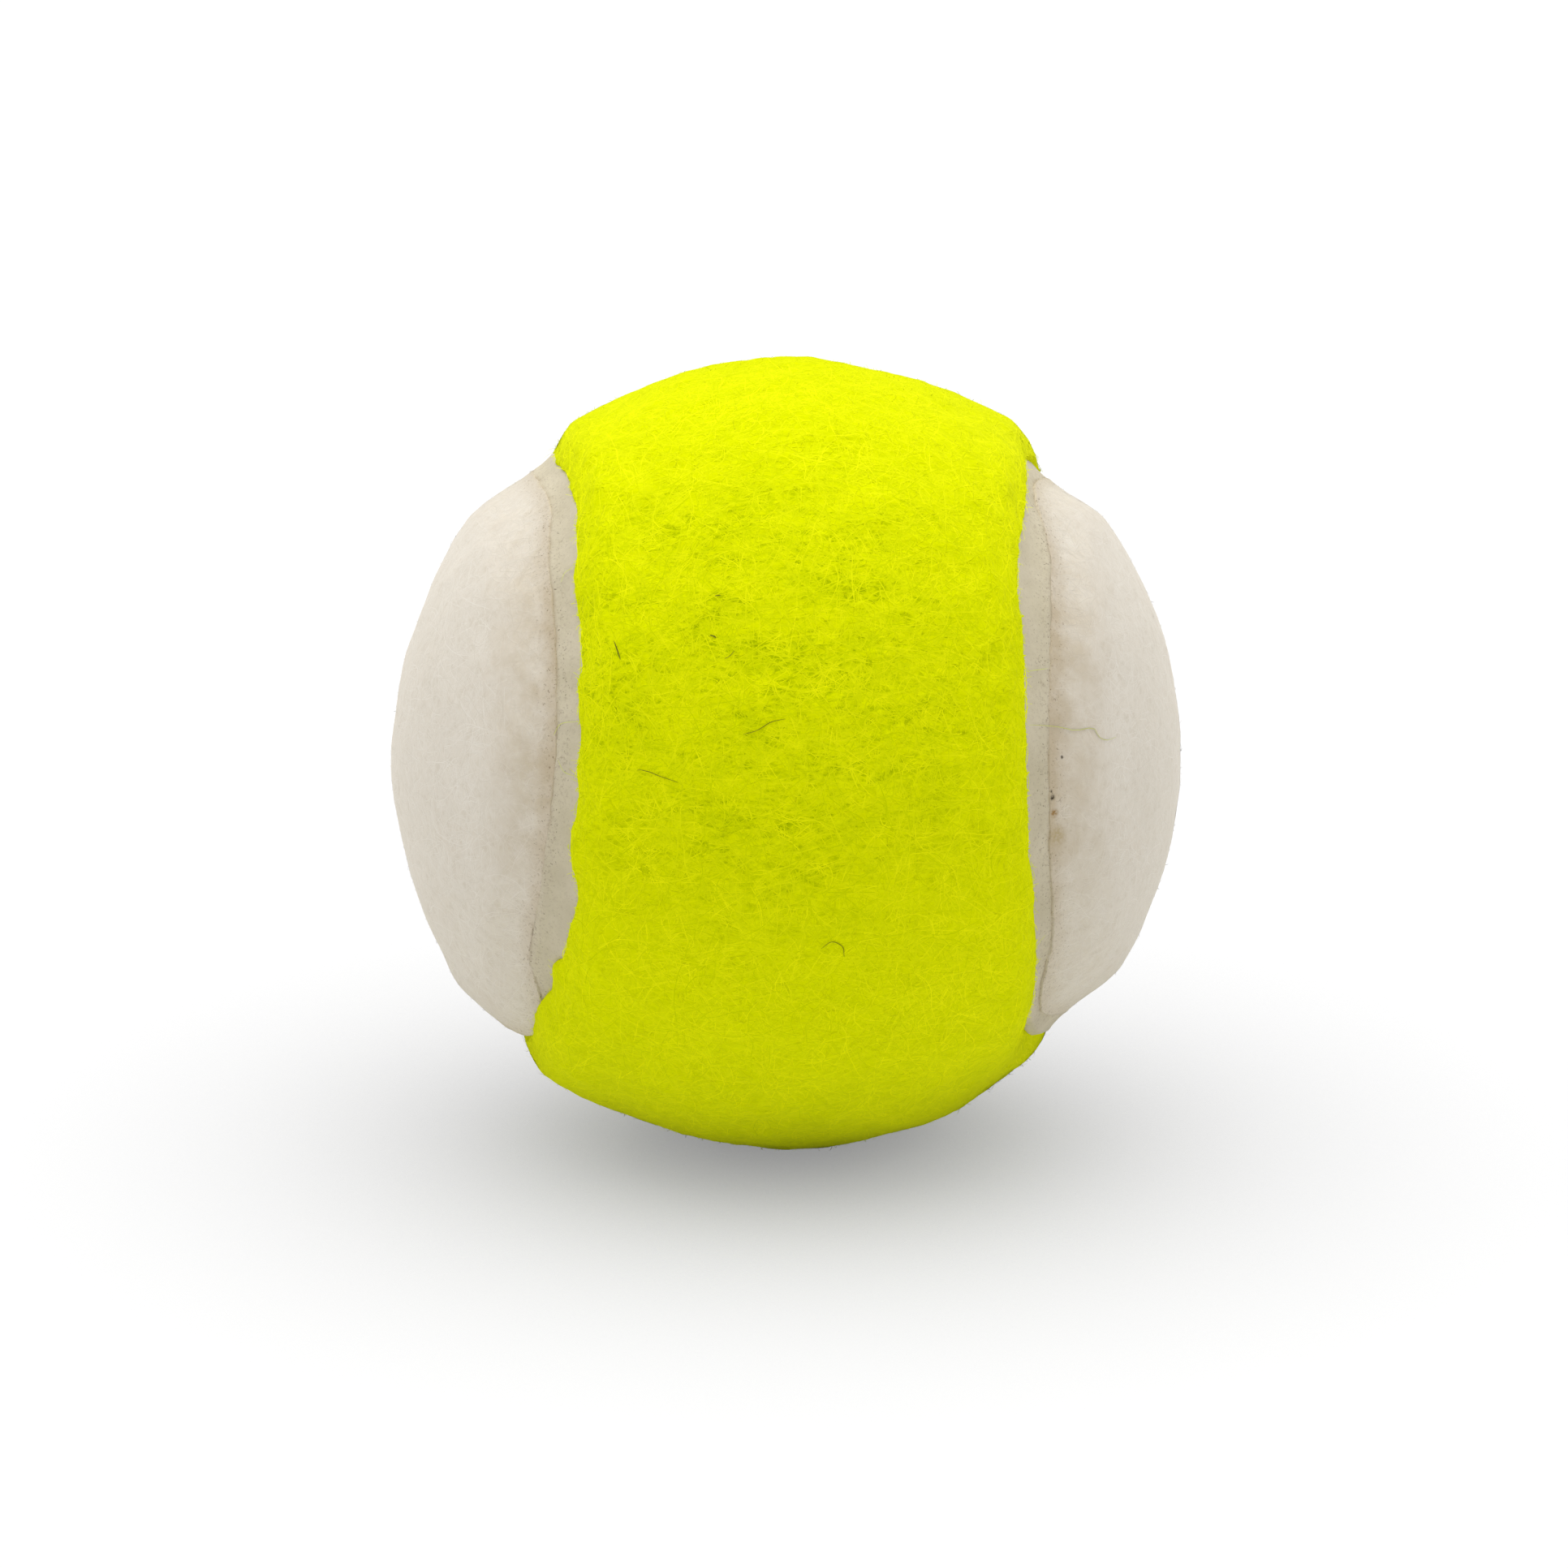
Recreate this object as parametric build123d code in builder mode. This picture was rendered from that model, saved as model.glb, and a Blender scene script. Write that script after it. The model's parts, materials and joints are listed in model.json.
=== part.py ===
from build123d import *

import os
from math import acos, atan, cos, degrees, radians, sin, sqrt

# A two-colour tennis ball, in millimetres, +Z up, with its origin at the centre of the ball.
#
# Two moulded rubber half shells are cemented rim to rim into a hollow, air-tight core. Two dumbbell-shaped
# felt panels, cut with one die, are cemented over the core so that each one's waist lies between the other's
# two lobes. One endless strip of seam rubber fills the channel between their edges, a little below the felt.
#
# The seam is four equal circular arcs on the ball, one round each lobe. The axis of every arc passes through
# the ball's centre, so whatever follows the seam is a section revolved about the lobe axes.

# Rubber core
core_outer_diameter = 60.0
core_wall = 3.3
rim_bevel = 0.9
rim_cement = 0.3

# Felt cover and the cement that holds it on the core
panel_cement = 0.2
felt_thickness = 3.3
felt_shoulder_radius = 1.0
waist_width = 38.3

# Seam rubber in the channel between the two panels
seam_width = 3.4
seam_recess = 1.1
seam_dish = 0.2

# How the ball lies: its waist faces forwards and is turned up by this angle, in degrees
waist_tilt = 23.0

core_outer_radius = core_outer_diameter / 2
core_inner_radius = core_outer_radius - core_wall
felt_inner_radius = core_outer_radius + panel_cement
ball_radius = felt_inner_radius + felt_thickness
seam_edge_radius = ball_radius - seam_recess

# Angles that the seam channel and the waist take up, seen from the ball's centre
seam_half_angle = degrees(seam_width / 2 / ball_radius)
waist_half_angle = degrees(waist_width / 2 / ball_radius) + seam_half_angle

# The four arcs meet where the seam crosses the ball's outline, at a quarter turn from one another.
# An arc through two of those points and the edge of the waist fixes the lean of its lobe's axis,
# the angle from that axis to the seam, and how far round the axis the arc runs.
meeting_share = 1 / sqrt(2)
lobe_lean = degrees(atan((meeting_share - sin(radians(waist_half_angle))) / cos(radians(waist_half_angle))))
lobe_angle = degrees(acos(meeting_share * cos(radians(lobe_lean))))
arc_angle = 2 * degrees(acos(-meeting_share * sin(radians(lobe_lean)) / sin(radians(lobe_angle))))

# The ball as it lies: local X to the side, local Y up along the waist, local Z out of the waist
lie = Plane.XY.rotated((90 - waist_tilt, 0, 0))


def along(side, up, out):
    """The direction with these shares along the sides, along the waist and out of the waist."""
    return (lie.x_dir * side + lie.y_dir * up + lie.z_dir * out).normalized()


meeting_axis = Axis((0, 0, 0), along(1, 1, 0))
waist_axis = Axis((0, 0, 0), lie.z_dir)
side_lobe_axis = Axis((0, 0, 0), along(cos(radians(lobe_lean)), 0, sin(radians(lobe_lean))))
upper_lobe_axis = Axis((0, 0, 0), along(0, cos(radians(lobe_lean)), -sin(radians(lobe_lean))))

# The arcs round the side lobe and the upper lobe both end at the meeting axis, in one plane across the seam.
# It holds both lobes' axes too, the side lobe's along its local X.
section_plane = Plane(
    origin=(0, 0, 0),
    x_dir=side_lobe_axis.direction,
    z_dir=side_lobe_axis.direction.cross(meeting_axis.direction),
)

# The plane that halves the front panel's waist
waist_plane = Plane(origin=(0, 0, 0), x_dir=lie.y_dir, z_dir=lie.x_dir)


def on_section(radius, angle):
    """The section plane's point at a radius from the ball's centre and an angle from the side lobe's axis."""
    return radius * cos(radians(angle)), radius * sin(radians(angle))


def band(inner_radius, outer_radius, near, far, dish):
    """Outline in the section plane between two radii and two angles, its outer side dished by a depth."""
    middle = (near + far) / 2
    Line(on_section(inner_radius, near), on_section(outer_radius, near))
    ThreePointArc(
        on_section(outer_radius, near),
        on_section(outer_radius - dish, middle),
        on_section(outer_radius, far),
    )
    Line(on_section(outer_radius, far), on_section(inner_radius, far))
    ThreePointArc(
        on_section(inner_radius, far),
        on_section(inner_radius, middle),
        on_section(inner_radius, near),
    )


def cover_section(inner_radius, outer_radius, far, shoulder_radius):
    """Section of a layer of the front panel, from its cut edge, rounded over on top, to an angle."""
    edge = lobe_angle + seam_half_angle
    with BuildSketch(section_plane) as section:
        with BuildLine():
            band(inner_radius, outer_radius, edge, far, 0)
        make_face()
        if shoulder_radius > 0:
            fillet(vertices().sort_by_distance(on_section(outer_radius, edge))[0], shoulder_radius)
    return section.sketch


def front_panel(inner_radius, outer_radius, shoulder_radius):
    """A layer of the dumbbell-shaped panel with its waist in front: its two lobes and two half waists.

    A lobe is a section turned round its own axis. A half of the waist is turned round the other panel's lobe,
    which it goes round, and ends where it meets the other half.
    """
    lobe_section = cover_section(inner_radius, outer_radius, 2 * lobe_angle, shoulder_radius)
    waist_section = cover_section(inner_radius, outer_radius, 3 * lobe_angle, shoulder_radius)
    with BuildPart() as lobe:
        revolve(lobe_section, axis=upper_lobe_axis, revolution_arc=arc_angle)
    with BuildPart() as half_waist:
        revolve(waist_section, axis=side_lobe_axis, revolution_arc=arc_angle)
        split(bisect_by=waist_plane, keep=Keep.TOP)
    with BuildPart() as panel:
        for piece in (lobe.part, half_waist.part):
            add(piece)
            add(piece.rotate(waist_axis, 180))
    return panel.part


# Core: a moulded half shell, with its rim bevelled inside where the cement gathers
with BuildPart() as core_half_upper:
    with BuildSketch(Plane.XZ):
        with BuildLine():
            rim_height = rim_cement / 2
            outer_rim = sqrt(core_outer_radius**2 - rim_height**2)
            inner_rim = sqrt(core_inner_radius**2 - rim_height**2)
            Line((inner_rim, rim_height), (outer_rim, rim_height))
            RadiusArc((outer_rim, rim_height), (0, core_outer_radius), -core_outer_radius)
            Line((0, core_outer_radius), (0, core_inner_radius))
            RadiusArc((0, core_inner_radius), (inner_rim, rim_height), core_inner_radius)
        make_face()
    revolve(axis=Axis.Z)
    inner_rim_edge = edges().filter_by(GeomType.CIRCLE).group_by(Axis.Z)[0].sort_by(SortBy.RADIUS)[0]
    chamfer(inner_rim_edge, rim_bevel)
core_half_upper.part.label = "core_half_upper"

with BuildPart() as core_half_lower:
    add(mirror(core_half_upper.part, about=Plane.XY, mode=Mode.PRIVATE))
core_half_lower.part.label = "core_half_lower"

# Ring of vulcanised cement between the two rims, flush with the core inside and out
with BuildPart() as core_joint_cement:
    Sphere(core_outer_radius)
    Sphere(core_inner_radius, mode=Mode.SUBTRACT)
    add(core_half_upper.part, mode=Mode.SUBTRACT)
    add(core_half_lower.part, mode=Mode.SUBTRACT)
core_joint_cement.part.label = "core_joint_cement"

# Cement film under each panel
with BuildPart() as yellow_panel_cement:
    add(front_panel(core_outer_radius, felt_inner_radius, 0))
yellow_panel_cement.part.label = "yellow_panel_cement"

with BuildPart() as white_panel_cement:
    add(yellow_panel_cement.part.rotate(meeting_axis, 180))
white_panel_cement.part.label = "white_panel_cement"

# Felt panels: the cut edge stands square on the core and its nap rolls over into the seam
with BuildPart() as yellow_felt_panel:
    add(front_panel(felt_inner_radius, ball_radius, felt_shoulder_radius))
yellow_felt_panel.part.label = "yellow_felt_panel"

with BuildPart() as white_felt_panel:
    add(yellow_felt_panel.part.rotate(meeting_axis, 180))
white_felt_panel.part.label = "white_felt_panel"

# Seam rubber: one endless strip on the core, between the cut edges of the felt
with BuildPart() as seam_arc:
    with BuildSketch(section_plane):
        with BuildLine():
            seam_near = lobe_angle - seam_half_angle
            seam_far = lobe_angle + seam_half_angle
            band(core_outer_radius, seam_edge_radius, seam_near, seam_far, seam_dish)
        make_face()
    revolve(axis=side_lobe_axis, revolution_arc=arc_angle)

side_arcs = [seam_arc.part, seam_arc.part.rotate(waist_axis, 180)]
with BuildPart() as seam_rubber:
    for arc in side_arcs + [side_arc.rotate(meeting_axis, 180) for side_arc in side_arcs]:
        add(arc)
seam_rubber.part.label = "seam_rubber"

os.makedirs("parts", exist_ok=True)
for piece in (
    core_half_upper,
    core_half_lower,
    core_joint_cement,
    yellow_panel_cement,
    white_panel_cement,
    yellow_felt_panel,
    white_felt_panel,
    seam_rubber,
):
    export_step(piece.part, f"parts/{piece.part.label}.step")
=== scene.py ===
"""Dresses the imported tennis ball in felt, nap and seam rubber, in metres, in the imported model's frame."""

import json
import math
from collections.abc import Callable
from dataclasses import dataclass

import bmesh
import bpy
import numpy as np
from mathutils import Matrix, Vector


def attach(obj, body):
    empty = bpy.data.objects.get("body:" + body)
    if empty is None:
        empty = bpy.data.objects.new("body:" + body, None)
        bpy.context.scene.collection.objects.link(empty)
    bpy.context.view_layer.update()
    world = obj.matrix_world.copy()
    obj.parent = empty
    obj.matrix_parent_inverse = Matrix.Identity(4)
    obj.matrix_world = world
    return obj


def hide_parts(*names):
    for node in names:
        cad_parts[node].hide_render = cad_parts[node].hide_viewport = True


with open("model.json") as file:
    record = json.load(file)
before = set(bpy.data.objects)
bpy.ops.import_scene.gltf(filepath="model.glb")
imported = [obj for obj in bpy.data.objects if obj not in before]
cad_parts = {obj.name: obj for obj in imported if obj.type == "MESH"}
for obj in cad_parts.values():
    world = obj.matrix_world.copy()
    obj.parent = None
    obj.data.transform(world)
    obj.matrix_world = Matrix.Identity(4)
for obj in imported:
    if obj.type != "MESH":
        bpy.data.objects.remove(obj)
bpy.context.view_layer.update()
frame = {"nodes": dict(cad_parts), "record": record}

MILLIMETRES = 1000

# Sizes of the ball, as its solids have them
BALL_RADIUS = frame["record"]["mounts"][0]["dims"]["r_mm"] / MILLIMETRES
FELT_THICKNESS = 0.0033
FELT_BASE = BALL_RADIUS - FELT_THICKNESS
CORE_RADIUS = 0.030
WAIST_WIDTH = 0.0383
SEAM_WIDTH = 0.0034
SEAM_RECESS = 0.0011
SEAM_DISH = 0.0002
WAIST_TILT = math.radians(23)

# Directions of the ball as it lies: to the side, up along the front panel's waist, and out of the waist
SIDE = np.array((1.0, 0.0, 0.0))
UP = np.array((0.0, math.sin(WAIST_TILT), math.cos(WAIST_TILT)))
OUT = np.array((0.0, -math.cos(WAIST_TILT), math.sin(WAIST_TILT)))

# The seam's four arcs: the lean of the lobes' axes, the angle from an axis to the seam, half an arc's turn
SEAM_HALF_ANGLE = SEAM_WIDTH / 2 / BALL_RADIUS
WAIST_HALF_ANGLE = WAIST_WIDTH / 2 / BALL_RADIUS + SEAM_HALF_ANGLE
MEETING_SHARE = math.sqrt(0.5)
LEAN = math.atan((MEETING_SHARE - math.sin(WAIST_HALF_ANGLE)) / math.cos(WAIST_HALF_ANGLE))
LOBE_ANGLE = math.acos(MEETING_SHARE * math.cos(LEAN))
ARC_HALF_ANGLE = math.acos(-MEETING_SHARE * math.sin(LEAN) / math.sin(LOBE_ANGLE))

# The photograph: its side, the ball's middle in it and the ball's radius, in pixels
PHOTO_SIDE = 1932
PHOTO_MIDDLE = (969, 929)
PHOTO_BALL_RADIUS = 486

# The camera, seen from the ball
CAMERA_AZIMUTH = math.radians(-2.9)
CAMERA_ELEVATION = math.radians(15)
CAMERA_DISTANCE = 0.5
SENSOR_WIDTH = 36.0
BALL_ANGLE = math.asin(BALL_RADIUS / CAMERA_DISTANCE)

# The least length that a vector is divided by
TINY = 1e-9


def camera_turn():
    """The camera's rotation: its columns are the picture's right and up, and the way back to the camera."""
    back = Vector((
        math.sin(CAMERA_AZIMUTH) * math.cos(CAMERA_ELEVATION),
        -math.cos(CAMERA_AZIMUTH) * math.cos(CAMERA_ELEVATION),
        math.sin(CAMERA_ELEVATION),
    ))
    return back.to_track_quat("Z", "Y").to_matrix()


def from_photo(column, row, radius=BALL_RADIUS):
    """The direction from the ball's centre to what a pixel shows at a radius.

    A pixel beside the ball stands for a place as far round the back, past the outline.
    """
    across = column - PHOTO_MIDDLE[0]
    up = PHOTO_MIDDLE[1] - row
    offset = math.hypot(across, up)
    share = offset / PHOTO_BALL_RADIUS
    sight = math.atan(min(share, 1.0) * math.tan(BALL_ANGLE))
    turn = math.asin(min(math.sin(sight) * CAMERA_DISTANCE / radius, 1.0)) - sight + max(share - 1.0, 0.0)
    sideways = math.sin(turn) / max(offset, TINY)
    return np.array(camera_turn() @ Vector((across * sideways, up * sideways, math.cos(turn))))


# Shape of the felt

def sloped(turn):
    """Drop of a felt edge that slopes down to the seam, as a share of its depth: 0 on top, 1 at the cut."""
    return turn**2


def eased(turn):
    """Drop of a felt edge that is pressed down flush with the seam, as a share of its depth."""
    return turn**2 * (3 - 2 * turn)


@dataclass
class Felt:
    """One felt panel, and how its cut edge and its surface are shaped.

    It lies on one side of the seam, 1 or -1, and its edge reaches over the channel. The edge is ragged and
    drops by a depth over a width, in the way of its shoulder. The puff is how proud the felt stands just
    inside. Fibres that hang over the edge keep the height that the felt has at its fray.
    """

    name: str
    side: int
    reach: float
    shoulder: Callable
    shoulder_width: float
    shoulder_depth: float
    puff: float
    ragged: float
    fray: float
    seed: int
    lumps: tuple
    pushes: tuple
    bulges: tuple


# How far inside its edge the felt stands proudest, and over what width
PUFF_PLACE = 0.0034
PUFF_SPREAD = 0.0032

# Waves of the ragged cut: wavelength and share of the cut's raggedness
CUT_WAVES = ((0.0055, 1.0), (0.0019, 0.7))
CUT_SEED = 1

# Lumps of the felts: wavelength and height
YELLOW_LUMPS = ((0.012, 0.00018), (0.0048, 0.00010), (0.0022, 0.00005), (0.0011, 0.00002))
WHITE_LUMPS = ((0.012, 0.00016), (0.0048, 0.00006), (0.0024, 0.00002))
LUMP_SEED = 5

# How far inside the edge the lumps reach their full height, and the share of it that they have at the edge
LUMP_FADE = 0.0030
EDGE_LUMPS = 0.1

# Where the seam is drawn towards the yellow felt: pixel, distance and spread
SEAM_SHIFTS = ((576, 492, 0.0031, 0.0120), (684, 589, 0.0013, 0.0070), (1290, 1268, 0.0010, 0.0080))

# Where a felt's edge reaches further over the seam, or less far: pixel, reach and spread
YELLOW_PUSHES = (
    (703, 645, -0.0008, 0.0055),
    (709, 1110, -0.0006, 0.0040),
    (678, 1204, 0.0008, 0.0016),
    (652, 1250, 0.0012, 0.0044),
    (1300, 580, -0.0008, 0.0040),
    (1258, 690, -0.0007, 0.0050),
    (1285, 1262, -0.0004, 0.0055),
    (712, 790, -0.0006, 0.0035),
    (704, 1048, 0.0009, 0.0025),
)
WHITE_PUSHES = (
    (1294, 850, -0.0005, 0.0080),
    (1285, 690, -0.0010, 0.0080),
    (1300, 600, 0.0014, 0.0060),
    (648, 1266, 0.0024, 0.0065),
    (1282, 1255, 0.0018, 0.0060),
    (674, 1080, -0.0008, 0.0085),
    (660, 1195, -0.0013, 0.0060),
)

# Where a felt stands out at the outline, or is pressed in: pixel, height and spread
YELLOW_BULGES = (
    (655, 1290, 0.0005, 0.0070),
    (1262, 520, 0.0004, 0.0065),
    (670, 546, -0.0006, 0.0060),
    (1294, 1286, -0.0018, 0.0065),
)
WHITE_BULGES = ((600, 1250, 0.0010, 0.0060), (636, 1268, 0.0006, 0.0040))

YELLOW = Felt(
    name="yellow", side=1, reach=0.0005, shoulder=sloped, shoulder_width=0.0042, shoulder_depth=0.00110,
    puff=0.00035, ragged=0.00014, fray=0.0004, seed=11,
    lumps=YELLOW_LUMPS, pushes=YELLOW_PUSHES, bulges=YELLOW_BULGES,
)
WHITE = Felt(
    name="white", side=-1, reach=0.0006, shoulder=eased, shoulder_width=0.0060, shoulder_depth=0.00116,
    puff=0.0, ragged=0.00010, fray=0.0, seed=23,
    lumps=WHITE_LUMPS, pushes=WHITE_PUSHES, bulges=WHITE_BULGES,
)

# Plane waves in a ripple, and the range of their frequencies about the middle one
RIPPLE_WAVES = 30
RIPPLE_RANGE = (0.7, 1.4)


def unit(vectors):
    """The vectors, one a row, at length 1."""
    return vectors / np.linalg.norm(vectors, axis=-1, keepdims=True)


def ripple(points, wavelength, seed):
    """Smooth random relief at these points, about -1 to 1, made of plane waves near one wavelength."""
    rng = np.random.default_rng(seed)
    ways = unit(rng.normal(size=(RIPPLE_WAVES, 3))) * rng.uniform(*RIPPLE_RANGE, (RIPPLE_WAVES, 1))
    phases = rng.uniform(0, 2 * math.pi, RIPPLE_WAVES)
    total = np.zeros(len(points))
    for way, phase in zip(ways, phases):
        total += np.sin(points @ way * (2 * math.pi / wavelength) + phase)
    return total / math.sqrt(2 * RIPPLE_WAVES)


def seam_place(directions):
    """Distance from the seam's middle at each direction, positive in the yellow, and the way it grows."""
    side, up, out = directions @ SIDE, directions @ UP, directions @ OUT
    front = out > math.tan(LEAN) * (np.abs(side) - np.abs(up))
    white_lobe = np.where(side < 0, -1, 1)[:, None] * SIDE * math.cos(LEAN) + OUT * math.sin(LEAN)
    yellow_lobe = np.where(up < 0, -1, 1)[:, None] * UP * math.cos(LEAN) - OUT * math.sin(LEAN)
    lobe = np.where(front[:, None], white_lobe, yellow_lobe)
    sign = np.where(front, 1.0, -1.0)
    cosine = np.clip((directions * lobe).sum(axis=1), -1, 1)
    distance = sign * (np.arccos(cosine) - LOBE_ANGLE) * BALL_RADIUS
    away = cosine[:, None] * directions - lobe
    away = away / np.maximum(np.linalg.norm(away, axis=1, keepdims=True), TINY)
    return distance, away * sign[:, None]


def around(directions, column, row, spread):
    """1 where a pixel shows the ball, and less over a spread from there."""
    offset = (directions - from_photo(column, row)) * BALL_RADIUS
    return np.exp(-(offset**2).sum(axis=1) / spread**2)


def seam_shift(directions):
    """How far the seam's middle is drawn off its arcs, towards the yellow felt, at these directions."""
    return sum(
        reach * around(directions, column, row, spread)
        for column, row, reach, spread in SEAM_SHIFTS
    )


def edge_place(felt, directions):
    """Distance of each direction inside the felt's cut edge, and the way it grows."""
    distance, way = seam_place(directions)
    distance = distance - seam_shift(directions)
    points = directions * BALL_RADIUS
    ragged = sum(
        share * ripple(points, wavelength, felt.seed + CUT_SEED + step)
        for step, (wavelength, share) in enumerate(CUT_WAVES)
    )
    inside = felt.side * distance - SEAM_WIDTH / 2 + felt.reach + felt.ragged * ragged
    for column, row, reach, spread in felt.pushes:
        inside += reach * around(directions, column, row, spread)
    return inside, felt.side * way


def shoulder_drop(felt, inside):
    """Depth of the felt's surface below its top, at a distance inside the edge."""
    return felt.shoulder_depth * felt.shoulder(np.clip(1 - inside / felt.shoulder_width, 0, 1))


def felt_height(felt, directions, inside):
    """Radius of the felt's surface, with its lumps, its bulges and its lower edge."""
    points = directions * BALL_RADIUS
    radius = BALL_RADIUS - shoulder_drop(felt, inside)
    grown = np.clip(inside / LUMP_FADE, EDGE_LUMPS, 1)
    for step, (wavelength, height) in enumerate(felt.lumps):
        radius = radius + grown * height * ripple(points, wavelength, felt.seed + LUMP_SEED + step)
    for column, row, height, spread in felt.bulges:
        radius = radius + height * around(directions, column, row, spread)
    return radius + felt.puff * np.exp(-(((inside - PUFF_PLACE) / PUFF_SPREAD) ** 2))


def on_floor(points):
    """The points, with those below the floor pressed flat on it."""
    points[:, 2] = np.maximum(points[:, 2], -BALL_RADIUS)
    return points


# Meshes and pieces

def mesh_from(name, points, corners, sizes):
    """A smooth mesh of faces, given as one run of corners and the number of corners in each face."""
    mesh = bpy.data.meshes.new(name)
    mesh.vertices.add(len(points))
    mesh.vertices.foreach_set("co", np.asarray(points, dtype=np.float32).ravel())
    mesh.loops.add(len(corners))
    mesh.loops.foreach_set("vertex_index", np.asarray(corners, dtype=np.int32))
    mesh.polygons.add(len(sizes))
    starts = np.concatenate(([0], np.cumsum(sizes)[:-1]))
    mesh.polygons.foreach_set("loop_start", starts.astype(np.int32))
    mesh.polygons.foreach_set("use_smooth", np.ones(len(sizes), dtype=bool))
    mesh.update(calc_edges=True)
    return mesh


def add_values(mesh, name, values):
    """Keeps one number a point in the mesh, for its material."""
    layer = mesh.attributes.new(name, "FLOAT", "POINT")
    layer.data.foreach_set("value", np.asarray(values, dtype=np.float32))


def add_piece(name, mesh, material):
    """A shown piece of the ball, which rides on its one body."""
    piece = bpy.data.objects.new(name, mesh)
    bpy.context.scene.collection.objects.link(piece)
    mesh.materials.append(material)
    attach(piece, "root")
    return piece


# Felt panels

# Divisions of the sphere that a panel is cut from, and how often its triangles are then split in four
COARSE_LEVEL = 6
REFINEMENTS = 2

# Points closer to the edge than this share of the triangles' size are moved on to it, in a few tries
SNAP_SHARE = 0.3
EDGE_TRIES = 5


def icosphere(level):
    """Directions and triangles of an evenly divided sphere."""
    sphere = bmesh.new()
    bmesh.ops.create_icosphere(sphere, subdivisions=level, radius=1)
    sphere.verts.ensure_lookup_table()
    directions = unit(np.array([corner.co[:] for corner in sphere.verts]))
    faces = np.array([[corner.index for corner in face.verts] for face in sphere.faces])
    sphere.free()
    return directions, faces


def to_edge(felt, directions):
    """The directions moved along the ball on to the felt's cut edge."""
    for _ in range(EDGE_TRIES):
        inside, way = edge_place(felt, directions)
        directions = unit(directions - way * (inside / BALL_RADIUS)[:, None])
    return directions


def cut_panel(felt):
    """Directions and triangles of one panel, cut along its edge out of an evenly divided sphere."""
    directions, faces = icosphere(COARSE_LEVEL)
    inside, _ = edge_place(felt, directions)
    spacing = np.linalg.norm(directions[faces[:, 0]] - directions[faces[:, 1]], axis=1).mean() * BALL_RADIUS
    near = np.abs(inside) < SNAP_SHARE * spacing
    directions[near] = to_edge(felt, directions[near])
    inside[near] = 0
    points = list(directions)
    crossings = {}

    def crossing(a, b):
        ends = (min(a, b), max(a, b))
        if ends not in crossings:
            share = inside[a] / (inside[a] - inside[b])
            crossings[ends] = len(points)
            points.append(directions[a] * (1 - share) + directions[b] * share)
        return crossings[ends]

    kept = []
    for face in faces[inside[faces].max(axis=1) > 0]:
        outline = []
        for a, b in zip(face, np.roll(face, -1)):
            if inside[a] >= 0:
                outline.append(a)
            if inside[a] * inside[b] < 0:
                outline.append(crossing(a, b))
        kept.extend((outline[0], outline[i], outline[i + 1]) for i in range(1, len(outline) - 1))
    points = unit(np.array(points))
    points[len(directions):] = to_edge(felt, points[len(directions):])
    used, renumbered = np.unique(np.array(kept), return_inverse=True)
    return points[used], renumbered.reshape(-1, 3)


def triangle_edges(faces):
    """The triangles' edges, the first edge of them all, then the second and the third."""
    return np.concatenate([faces[:, [0, 1]], faces[:, [1, 2]], faces[:, [2, 0]]])


def refine(felt, directions, faces):
    """The triangles split in four, and the new point in the middle of each rim edge, by the edge's ends."""
    lines, back, uses = np.unique(
        np.sort(triangle_edges(faces), axis=1), axis=0, return_inverse=True, return_counts=True
    )
    middles = unit(directions[lines[:, 0]] + directions[lines[:, 1]])
    on_rim = uses == 1
    middles[on_rim] = to_edge(felt, middles[on_rim])
    ab, bc, ca = (back.ravel() + len(directions)).reshape(3, -1)
    a, b, c = faces.T
    quarters = ((a, ab, ca), (ab, b, bc), (ca, bc, c), (ab, bc, ca))
    rim = {tuple(lines[i]): len(directions) + i for i in np.nonzero(on_rim)[0]}
    split = np.concatenate([np.stack(quarter, axis=1) for quarter in quarters])
    return np.concatenate([directions, middles]), split, rim


def on_surface(felt, directions):
    """The panel's points on the felt's surface, and their distance inside its edge."""
    inside, _ = edge_place(felt, directions)
    inside = np.maximum(inside, 0)
    return directions * felt_height(felt, directions, inside)[:, None], inside


def rim_chains(faces, rims):
    """Each rim edge of the plain triangles: its two ends, and the refined points from one to the other."""
    edges = triangle_edges(faces)
    _, back, uses = np.unique(np.sort(edges, axis=1), axis=0, return_inverse=True, return_counts=True)
    for a, b in edges[uses[back.ravel()] == 1]:
        chain = [a, b]
        for rim in rims:
            longer = [a]
            for start, end in zip(chain, chain[1:]):
                longer += [rim[(min(start, end), max(start, end))], end]
            chain = longer
        yield a, b, chain


def felt_mesh(felt):
    """A closed sheet of felt: its fine top, its cut edge and a plain underside on the cement."""
    plain, plain_faces = cut_panel(felt)
    directions, faces = plain, plain_faces
    rims = []
    for _ in range(REFINEMENTS):
        directions, faces, rim = refine(felt, directions, faces)
        rims.append(rim)
    top, inside = on_surface(felt, directions)
    below = len(top)
    wall = []
    for a, b, chain in rim_chains(plain_faces, rims):
        half = len(chain) // 2
        wall += [(end, start, a + below) for start, end in zip(chain[:half], chain[1:half + 1])]
        wall.append((chain[half], a + below, b + below))
        wall += [(end, start, b + below) for start, end in zip(chain[half:], chain[half + 1:])]
    points = on_floor(np.concatenate([top, plain * FELT_BASE]))
    triangles = np.concatenate([faces, plain_faces[:, ::-1] + below, np.array(wall)])
    mesh = mesh_from(f"{felt.name}_felt", points, triangles.ravel(), np.full(len(triangles), 3))
    add_values(mesh, "inside_mm", np.concatenate([inside, np.zeros(len(plain))]) * MILLIMETRES)
    return mesh


# Nap: fibres that lie matted on the felt, as fine tubes

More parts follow.
